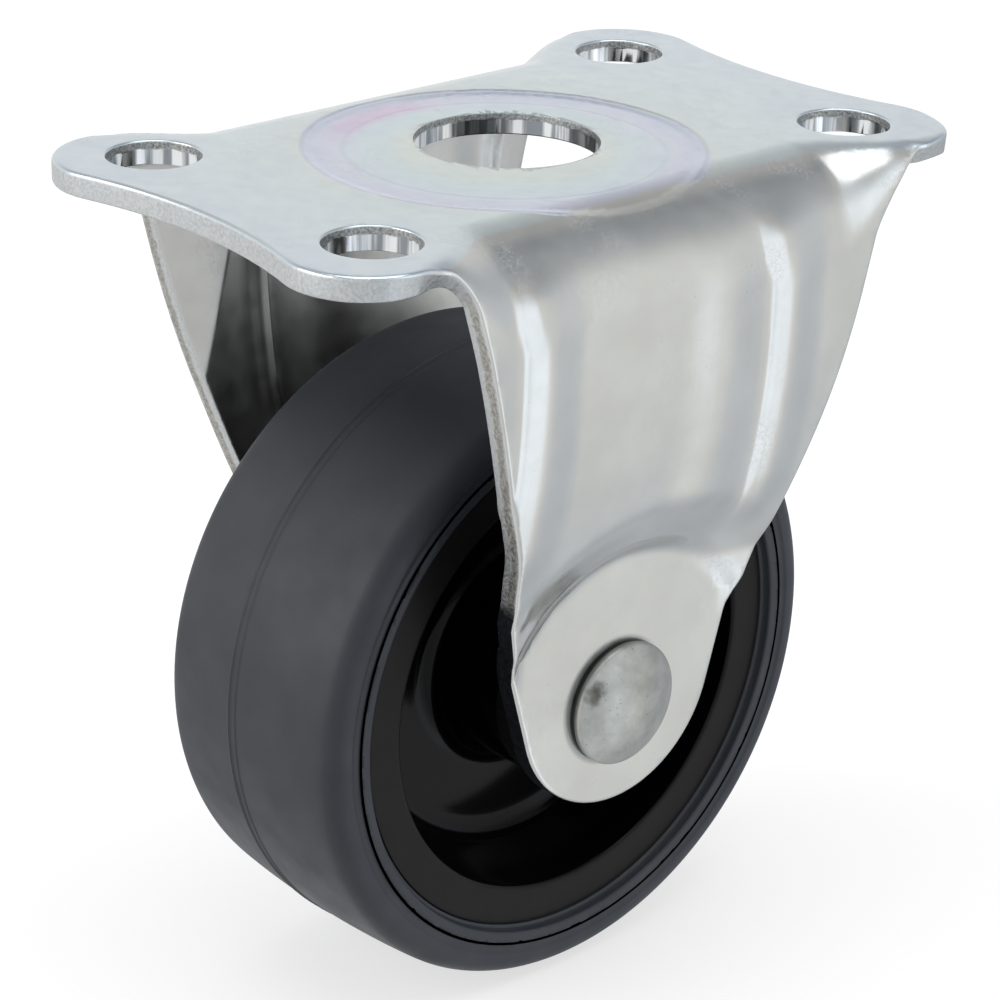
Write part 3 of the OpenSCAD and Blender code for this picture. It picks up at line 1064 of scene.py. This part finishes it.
    def build(self, finishes: Sequence[bpy.types.Material]) -> bpy.types.Object:
        """Punches, grids and bends the blank.

        Args:
            finishes: Plating outside, cut edge, hole wall and plating inside.

        Returns:
            The bracket.
        """
        flat = link_mesh("fork_blank", self.blank())
        tools = [link_mesh("fork_die", self.recess_die()), link_mesh("fork_punch", self.punches())]
        for tool in tools:
            cut = flat.modifiers.new(tool.name, "BOOLEAN")
            cut.operation, cut.object, cut.solver = "DIFFERENCE", tool, "EXACT"
        bm = bmesh.new()
        bm.from_object(flat, bpy.context.evaluated_depsgraph_get())
        for helper in [flat] + tools:
            bpy.data.objects.remove(helper)
        bmesh.ops.scale(bm, vec=(1 / MM,) * 3, verts=bm.verts)
        across, along = self.cut_places()
        for axis, places in ((1, along), (0, across)):
            for value in places:
                spot, way = Vector(), Vector()
                spot[axis], way[axis] = value, 1.0
                bmesh.ops.bisect_plane(bm, geom=bm.verts[:] + bm.edges[:] + bm.faces[:],
                                       dist=1e-4, plane_co=spot, plane_no=way)
        bm.normal_update()
        for face in bm.faces:
            face.material_index = self.finish_of(face)
        depth = bm.verts.layers.float.new("depth")
        for vert in bm.verts:
            vert[depth] = -vert.co.z / self.sheet
            vert.co = self.bent(vert.co)
        obj = link_mesh("fork", bm)
        shading = obj.modifiers.new("weighted normals", "WEIGHTED_NORMAL")
        shading.weight = 60
        return settle(obj, finishes, "bracket", "bracket")

    def finish_of(self, face: bmesh.types.BMFace) -> int:
        """Which finish a face of the flat blank gets: 0 the plating outside, 1 the cut edge, 2 a
        hole's wall, 3 the plating inside."""
        if face.normal.z < -0.5:
            return 3
        if face.normal.z > 0.5:
            return 0
        middle = face.calc_center_median()
        plate_hole = math.hypot(abs(middle.x) - self.hole_x, abs(middle.y) - self.hole_y)
        if plate_hole < self.hole_r + 0.4 or middle.xy.length < self.centre_r + 0.5:
            return 2
        return 1


@dataclass
class Wheel:
    """The wheel's core and tyre; millimetres, as radius and place along the axle."""

    tread_r: float = 32.5
    half_tyre: float = 13.0
    tread_drop: float = 0.5
    shoulder: float = 2.4
    core_r: float = 26.5
    half_core: float = 12.0
    ring_w: float = 4.1
    groove_depth: float = 1.5
    groove_half: float = 4.0
    half_web: float = 2.5
    web_fillet: float = 2.5
    wall_draft: float = 1.6
    hub_r: float = 10.5
    half_hub: float = 15.9
    bore_r: float = 6.06
    tyre_gap: float = 0.02
    parting_y: float = 1.5
    steps: int = 216

    def rim(self, gap: float) -> list[Point2]:
        """The seat between core and tyre, from -Y to +Y."""
        g, d, h, r = self.groove_half, self.groove_depth, self.half_core, self.core_r + gap
        return [(r, -h), (r, -g - d), (r - d, -g), (r - d, g), (r, g + d), (r, h)]

    def tyre_side(self) -> list[Point2]:
        """One side of the tyre, from the shoulder to the seat, on +Y."""
        s = self.shoulder
        side_r = self.tread_r - self.tread_drop - s
        points = arc((side_r, self.half_tyre - s), s, 16, 90, 10)
        points += eased_corner((side_r - 0.25, self.half_tyre),
                               (side_r - 0.7, self.half_tyre - 0.42),
                               (side_r - 1.5, self.half_tyre - 0.02), 8)
        points += [(28.4, self.half_tyre - 0.02), (27.6, self.half_tyre - 0.02)]
        points += arc((27.3, self.half_tyre - 0.32), 0.3, 80, 170, 4)
        points += [(26.9, 12.16), (26.8, 12.04), (26.66, 12.0), (26.56, 11.9)]
        return points

    def tread(self) -> list[Point2]:
        """The crowned tread from -Y to +Y, with the mould's double parting line."""
        half = self.half_tyre - self.shoulder
        crown = (half * half + self.tread_drop ** 2) / (2 * self.tread_drop)
        places = [half * i / 12 for i in range(-12, 13)]
        places = [y for y in places if abs(y - self.parting_y) > 0.95]
        line = [(-0.85, 0.0), (-0.62, 0.0), (-0.52, 0.09), (-0.42, 0.0), (-0.3, -0.05),
                (0.2, -0.04), (0.34, 0.0), (0.46, 0.12), (0.56, 0.0), (0.85, 0.0)]
        bumps = {self.parting_y + dy: up for dy, up in line}
        return [(self.tread_r - crown + math.sqrt(crown ** 2 - y * y) + bumps.get(y, 0.0), y)
                for y in sorted(places + list(bumps))]

    def build_tyre(self, finish: bpy.types.Material) -> bpy.types.Object:
        """Builds the tyre.

        Args:
            finish: Its rubber.

        Returns:
            The tyre.
        """
        side = self.tyre_side()
        low = [(r, -y) for r, y in reversed(side)]
        profile = low + self.tread() + side + list(reversed(self.rim(self.tyre_gap)))[1:-1]
        obj = link_mesh("rubber_tyre", turned(profile, self.steps))
        return settle(obj, [finish], "wheel", "tyre")

    def core_side(self) -> list[Point2]:
        """One face of the core from the rim to the bore, on +Y."""
        lip = 0.55
        ring_in = self.core_r - self.ring_w
        web_r = ring_in - self.wall_draft
        f = self.web_fillet
        points = [(self.core_r, self.half_core - 0.12), (self.core_r - 0.04, self.half_core - 0.04),
                  (self.core_r - 0.12, self.half_core), (self.core_r - 0.6, self.half_core)]
        points += [(ring_in + lip + 0.4, self.half_core)]
        points += arc((ring_in + lip, self.half_core - lip), lip, 90, 180, 8)
        points += [(ring_in - 0.1, self.half_core - lip - 0.6)]
        points += arc((web_r - f, self.half_web + f), f, 0, -90, 10)
        points += [(web_r - f - 0.5, self.half_web), (self.hub_r + f + 0.5, self.half_web)]
        points += arc((self.hub_r + f, self.half_web + f), f, 270, 180, 10)
        points += [(self.hub_r - 0.05, self.half_web + f + 0.8),
                   (self.hub_r - 0.38, self.half_hub - 0.9)]
        points += arc((self.hub_r - 0.9, self.half_hub - 0.5), 0.5, 0, 90, 4)
        points += [(self.bore_r + 0.5, self.half_hub), (self.bore_r + 0.12, self.half_hub - 0.12),
                   (self.bore_r, self.half_hub - 0.5)]
        return points

    def build_core(self, finish: bpy.types.Material) -> bpy.types.Object:
        """Builds the core.

        Args:
            finish: Its plastic.

        Returns:
            The core.
        """
        side = self.core_side()
        far = [(r, -y) for r, y in reversed(side)]
        profile = side + far + self.rim(0.0)[1:-1]
        obj = link_mesh("wheel_centre", turned(profile, self.steps))
        return settle(obj, [finish], "wheel", "wheel_core")


@dataclass
class Rivet:
    """The axle rivet; millimetres."""

    shank_r: float = 4.0
    pad_out: float = PAD_OUT
    head_r: float = 6.4
    head_rim: float = 0.85
    head_dome: float = 2.0
    tail_r: float = 6.0
    tail_rim: float = 0.55
    tail_dome: float = 1.65
    steps: int = 144

    def head(self, radius: float, rim: float, dome: float) -> list[Point2]:
        """Half section of a head, from its crown to its seat.

        Args:
            radius: The head's radius.
            rim: Height of its rim.
            dome: Height of its dome above the rim.

        Returns:
            Points as radius and height above the seat.
        """
        sphere = (radius * radius + dome * dome) / (2 * dome)
        top = rim + dome
        points = []
        for i in range(17):
            r = radius * 0.94 * i / 16
            points.append((r, top - sphere + math.sqrt(sphere * sphere - r * r)))
        last = points[-1][1]
        points += eased_corner((radius * 0.955, last - 0.06), (radius, last - 0.22),
                               (radius, rim * 0.72), 5)
        points += [(radius, rim * 0.4), (radius - 0.14, rim * 0.3), (radius - 0.5, rim * 0.24),
                   (radius - 0.5, 0.0)]
        return points

    def build(self, finish: bpy.types.Material) -> bpy.types.Object:
        """Builds the rivet.

        Args:
            finish: Its steel.

        Returns:
            The rivet.
        """
        head = self.head(self.head_r, self.head_rim, self.head_dome)
        tail = self.head(self.tail_r, self.tail_rim, self.tail_dome)
        near = [(r, -self.pad_out - h) for r, h in head]
        far = [(r, self.pad_out + h) for r, h in reversed(tail)]
        shank = [(self.shank_r, -self.pad_out), (self.shank_r, self.pad_out)]
        obj = link_mesh("rivet", turned(near + shank + far, self.steps, closed=False))
        return settle(obj, [finish], "bracket", "axle_rivet")


@dataclass(frozen=True)
class View:
    """The photograph's camera; millimetres and degrees."""

    azimuth: float = -42.228
    elevation: float = 23.137
    roll: float = 1.504
    distance: float = 330.523
    target: tuple[float, float, float] = (0.315, 0.0, -37.853)
    focal: float = 118.529
    sensor: float = 36.0

    def build(self) -> bpy.types.Object:
        """Makes the camera and sets it as the scene's."""
        a, roll = math.radians(self.azimuth), math.radians(self.roll)
        back = toward(self.azimuth, self.elevation)
        level = Vector((math.cos(a), math.sin(a), 0.0))
        up = back.cross(level)
        right = level * math.cos(roll) + up * math.sin(roll)
        up = up * math.cos(roll) - level * math.sin(roll)
        data = bpy.data.cameras.new("camera")
        data.lens, data.sensor_width = self.focal, self.sensor
        data.clip_start, data.clip_end = 0.01, 20.0
        camera = bpy.data.objects.new("camera", data)
        bpy.context.scene.collection.objects.link(camera)
        turn = Matrix((right, up, back)).transposed().to_4x4()
        spot = (Vector(self.target) + back * self.distance) * MM
        camera.matrix_world = Matrix.Translation(spot) @ turn
        bpy.context.scene.camera = camera
        return camera


class Panel(Enum):
    """Soft boxes: azimuth, elevation, distance and size in metres, and radiance."""

    TOP = (-20.0, 80.0, 1.0, 0.9, 1.6)
    RIGHT = (62.0, 14.0, 0.9, 0.4, 2.4)
    LEFT = (-112.0, 24.0, 0.9, 0.7, 2.2)
    FRONT = (30.0, 12.0, 1.1, 0.5, 1.9)


class Sheen(Enum):
    """What polished metal mirrors round the studio: azimuth in degrees, strength and tint."""

    BACK = (-180.0, 1.0, (1.0, 1.0, 1.0))
    SIDE = (-100.0, 1.05, (1.0, 1.0, 1.0))
    LEFT = (-55.0, 0.95, (1.0, 1.0, 1.0))
    LEFT_SHADE = (-22.0, 0.8, (0.94, 0.99, 1.04))
    LEFT_EDGE = (2.0, 1.1, (0.97, 1.0, 1.03))
    STRIP = (12.0, 1.5, (0.94, 1.0, 1.07))
    STRIP_END = (25.0, 1.45, (0.95, 1.0, 1.06))
    FRONT = (37.0, 1.04, (1.0, 1.0, 0.985))
    FRONT_END = (47.0, 0.96, (1.0, 1.0, 0.98))
    RIGHT_SHADE = (58.0, 0.84, (0.95, 0.99, 1.04))
    RIGHT_DARK = (88.0, 0.66, (0.93, 0.99, 1.06))
    FAR_SIDE = (112.0, 0.85, (1.0, 1.0, 1.0))
    BEHIND = (138.0, 0.98, (1.0, 1.0, 1.0))


@dataclass(frozen=True)
class Studio:
    """A plain pale floor, soft light and a white surround with a greyer ceiling."""

    floor_z: float = -85.62
    half_size: float = 3.0
    floor_tone: float = 0.45
    floor_glow: float = 0.64
    ambient: float = 0.62
    dark_way: tuple[float, float, float] = (-0.646, -0.718, 0.259)
    dark_least: float = 0.04
    aim_z: float = -40.0
    ceiling: float = 0.6
    underfoot: float = 0.9
    ramp_top: float = 2.0

    def build(self) -> None:
        """Builds the floor, the lamps and the surround."""
        self.floor()
        self.surround()
        for panel in Panel:
            self.lamp(panel)

    def seen_share(self, tree: Tree) -> bpy.types.NodeSocket:
        """One for the rays that show the background: straight, mirrored or through glass."""
        path = tree.add("LightPath").outputs
        return tree.maths("MAXIMUM", path["Is Camera Ray"],
                          tree.maths("MAXIMUM", path["Is Glossy Ray"], path["Is Transmission Ray"]))

    def floor(self) -> None:
        """Lays the pale floor just under the tyre."""
        bm = bmesh.new()
        bmesh.ops.create_grid(bm, x_segments=1, y_segments=1, size=self.half_size / MM)
        bmesh.ops.translate(bm, vec=(0, 0, self.floor_z), verts=bm.verts)
        obj = link_mesh("floor", bm)
        material = bpy.data.materials.new("floor")
        material.use_nodes = True
        tree = Tree(material.node_tree)
        shader = material.node_tree.nodes["Principled BSDF"]
        tone = (self.floor_tone, self.floor_tone, self.floor_tone, 1)
        glow = tree.times(self.seen_share(tree), self.floor_glow)
        for label, value in (("Base Color", tone), ("Roughness", 0.9),
                             ("Specular IOR Level", 0.0), ("Emission Color", (1, 1, 1, 1)),
                             ("Emission Strength", glow)):
            tree.put(shader.inputs[label], value)
        obj.data.materials.append(material)
        obj.visible_glossy = False

    def surround(self) -> None:
        """Makes the surround white where it is seen, softly striped where it is mirrored."""
        world = bpy.data.worlds.new("studio")
        world.use_nodes = True
        bpy.context.scene.world = world
        tree = Tree(world.node_tree)
        way = tree.add("SeparateXYZ", {0: tree.add("TexCoord").outputs["Generated"]}).outputs
        turn = tree.maths("ARCTAN2", way[0], tree.times(way[1], -1.0))
        ring = tree.plus(tree.maths("DIVIDE", turn, math.tau), 0.5)
        stops = [(azimuth / 360 + 0.5, (*(power * part / self.ramp_top for part in tint), 1.0))
                 for azimuth, power, tint in (sheen.value for sheen in Sheen)]
        stops.append((1.0, stops[0][1]))
        stripes = tree.bands(ring, stops, "EASE")
        above = tree.ramp(way[2], 0.3, 0.75, 1.0, self.ceiling)
        below = tree.ramp(way[2], -0.85, -0.55, self.underfoot, 1.0)
        mirrored = tree.times(tree.times(above, below), self.ramp_top)
        seen = self.seen_share(tree)
        camera = tree.add("LightPath").outputs["Is Camera Ray"]
        facing = tree.add("VectorMath", {0: tree.add("TexCoord").outputs["Generated"],
                                         1: self.dark_way}, operation="DOT_PRODUCT")
        soft = tree.ramp(facing.outputs["Value"], 0.4, 0.85, self.ambient, self.dark_least)
        strength = tree.add("MapRange", {"Value": seen, "To Min": soft,
                                         "To Max": mirrored}).outputs[0]
        strength = tree.add("MapRange", {"Value": camera, "To Min": strength,
                                         "To Max": 1.0}).outputs[0]
        plain = tree.maths("MAXIMUM", tree.minus(1.0, seen), camera)
        ground = world.node_tree.nodes["Background"]
        tree.put(ground.inputs["Color"], tree.blend(plain, stripes, (1, 1, 1, 1)))
        tree.put(ground.inputs["Strength"], strength)

    def lamp(self, panel: Panel) -> None:
        """Adds one soft box that faces the castor.

        Args:
            panel: Which one.
        """
        azimuth, elevation, distance, size, radiance = panel.value
        back = toward(azimuth, elevation)
        data = bpy.data.lights.new(panel.name.lower(), "AREA")
        data.shape, data.size = "SQUARE", size
        data.energy = radiance * math.pi * size * size
        lamp = bpy.data.objects.new(panel.name.lower(), data)
        lamp.visible_camera = False
        lamp.visible_glossy = panel in (Panel.LEFT, Panel.TOP)
        bpy.context.scene.collection.objects.link(lamp)
        spot = Vector((0, 0, self.aim_z * MM)) + back * distance
        turn = back.to_track_quat("Z", "Y").to_matrix().to_4x4()
        lamp.matrix_world = Matrix.Translation(spot) @ turn


def dress_node(node: str, material: bpy.types.Material) -> None:
    """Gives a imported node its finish.

    Args:
        node: The node's name.
        material: The finish.
    """
    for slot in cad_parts[node].material_slots:
        slot.material = material
    log.info("%s: kept, finished as %s", node, material.name)


def main() -> None:
    """Builds the castor's pieces, its finishes and the studio."""
    logging.basicConfig(level=logging.INFO, format="%(name)s %(message)s")
    bpy.context.scene.view_settings.view_transform = "Standard"
    View().build()
    Studio().build()
    groups = shared_groups()
    # The inner faces get a rougher copy of the plating, its colour darkened to 0.85: painted shade.
    inside = Zinc(groups, "zinc_inside", polish=(0.32, 0.42), tone=0.85, flare=0.05)
    Fork().build([Zinc(groups).material, ShearedEdge(groups).material,
                  PunchedWall(groups).material, inside.material])
    Rivet().build(RivetSteel(groups).material)
    dress_node("axle_sleeve", PlainSteel(groups).material)
    wheel = Wheel()
    wheel.build_core(CorePlastic(groups).material)
    wheel.build_tyre(TyreRubber(groups).material)


if __name__ == "__main__":
    main()
